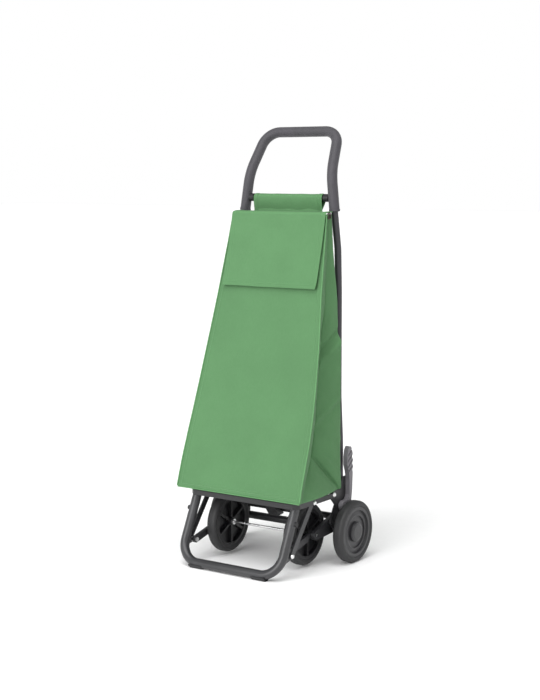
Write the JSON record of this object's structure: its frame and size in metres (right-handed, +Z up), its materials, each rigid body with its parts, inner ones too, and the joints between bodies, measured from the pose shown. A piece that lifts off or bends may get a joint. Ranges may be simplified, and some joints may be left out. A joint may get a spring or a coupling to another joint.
{
  "type": "folding shopping cart",
  "caption": "Folding shopping cart with an A-line fabric bag under a U handle, a fold-up shelf with a U foot, main wheels and lower-able inner wheels worked by a side pedal.",
  "frame": {"origin": "centre of the bounding box's footprint, at floor level", "axes": "+Z up; -Y is the front, where the lid's flap and the foot are; +X is the pedal's side"},
  "size_m": [0.395, 0.3459, 1.0425],
  "materials": {
    "grip": "soft-touch matt",
    "frame_paint": "satin powder coat",
    "dark_paint": "satin powder coat",
    "black_plastic": "moulded",
    "zinc": "bright zinc plate",
    "fabric": "coated woven polyester",
    "clip": "moulded",
    "board": "moulded sheet",
    "tyre": "matt rubber",
    "wheel_plastic": "moulded",
    "pedal_plastic": "moulded, ribbed"
  },
  "bodies": {
    "rear_frame": {"grip": "grip", "frame_tube": "frame_paint", "crossbar": "dark_paint", "crossbar_sleeves": "black_plastic", "plate_left": "dark_paint", "plate_right": "dark_paint", "plate_screws": "black_plastic", "tube_plugs": "black_plastic", "main_axle": "dark_paint", "axle_washers": "zinc", "shelf_pins": "zinc", "pedal_pin": "zinc", "bag_front": "fabric", "bag_back": "fabric", "bag_gusset_left": "fabric", "bag_gusset_right": "fabric", "bag_floor": "fabric", "bag_band": "fabric", "bag_piping": "fabric"},
    "lid": {"lid_top": "fabric", "lid_flap": "fabric", "lid_clip": "clip"},
    "base": {"floor_board": "board", "shelf_frame": "dark_paint", "shelf_slats": "dark_paint", "shelf_rivets": "zinc", "foot_tube": "frame_paint", "foot_pads": "black_plastic", "foot_ears": "frame_paint", "foot_bolts": "black_plastic", "stays": "frame_paint", "strut_bolts": "zinc", "latch_clip": "black_plastic"},
    "strut_left": {"strut_left": "frame_paint"},
    "strut_right": {"strut_right": "frame_paint"},
    "carrier": {"arm_left": "frame_paint", "arm_right": "frame_paint", "cross_tube": "dark_paint", "aux_axle": "zinc", "aux_collars": "zinc"},
    "aux_wheel_left": {"aux_tyre_left": "tyre", "aux_rim_left": "wheel_plastic"},
    "aux_wheel_right": {"aux_tyre_right": "tyre", "aux_rim_right": "wheel_plastic"},
    "main_wheel_left": {"main_tyre_left": "tyre", "main_rim_left": "wheel_plastic", "main_cap_left": "wheel_plastic"},
    "main_wheel_right": {"main_tyre_right": "tyre", "main_rim_right": "wheel_plastic", "main_cap_right": "wheel_plastic"},
    "pedal": {"pedal": "pedal_plastic"}
  },
  "joints": [
    {"name": "base_fold", "type": "hinge", "parent": "rear_frame", "child": "base", "pos_m": [0, 0.05488, 0.169], "axis": [-1, 0, 0], "range_deg": [0, 85], "deforming": ["bag_front", "bag_gusset_left", "bag_gusset_right", "bag_floor", "bag_piping"]},
    {"name": "strut_left_pivot", "type": "hinge", "parent": "base", "child": "strut_left", "pos_m": [0, -0.11513, 0.0545], "axis": [1, 0, 0], "range_deg": [0, 34]},
    {"name": "strut_right_pivot", "type": "hinge", "parent": "base", "child": "strut_right", "pos_m": [0, -0.11513, 0.0545], "axis": [1, 0, 0], "range_deg": [0, 34]},
    {"name": "aux_lower", "type": "hinge", "parent": "rear_frame", "child": "carrier", "pos_m": [0, 0.08887, 0.107], "axis": [1, 0, 0], "range_deg": [0, 9]},
    {"name": "pedal_press", "type": "hinge", "parent": "rear_frame", "child": "pedal", "pos_m": [0, 0.08887, 0.137], "axis": [-1, 0, 0], "range_deg": [0, 45]},
    {"name": "aux_spin_left", "type": "hinge", "parent": "carrier", "child": "aux_wheel_left", "pos_m": [-0.1115, -0.00713, 0.081], "axis": [1, 0, 0], "continuous": true},
    {"name": "aux_spin_right", "type": "hinge", "parent": "carrier", "child": "aux_wheel_right", "pos_m": [0.1115, -0.00713, 0.081], "axis": [1, 0, 0], "continuous": true},
    {"name": "main_spin_left", "type": "hinge", "parent": "rear_frame", "child": "main_wheel_left", "pos_m": [-0.1825, 0.09788, 0.075], "axis": [1, 0, 0], "continuous": true},
    {"name": "main_spin_right", "type": "hinge", "parent": "rear_frame", "child": "main_wheel_right", "pos_m": [0.1825, 0.09788, 0.075], "axis": [1, 0, 0], "continuous": true},
    {"name": "lid_open", "type": "hinge", "parent": "rear_frame", "child": "lid", "pos_m": [0, 0.07487, 0.838], "axis": [-1, 0, 0], "range_deg": [0, 85]}
  ],
  "couplings": [
    {"joint": "strut_left_pivot", "follows": "base_fold", "ratio": 0.4},
    {"joint": "strut_right_pivot", "follows": "base_fold", "ratio": 0.4},
    {"joint": "pedal_press", "follows": "aux_lower", "ratio": 5}
  ]
}
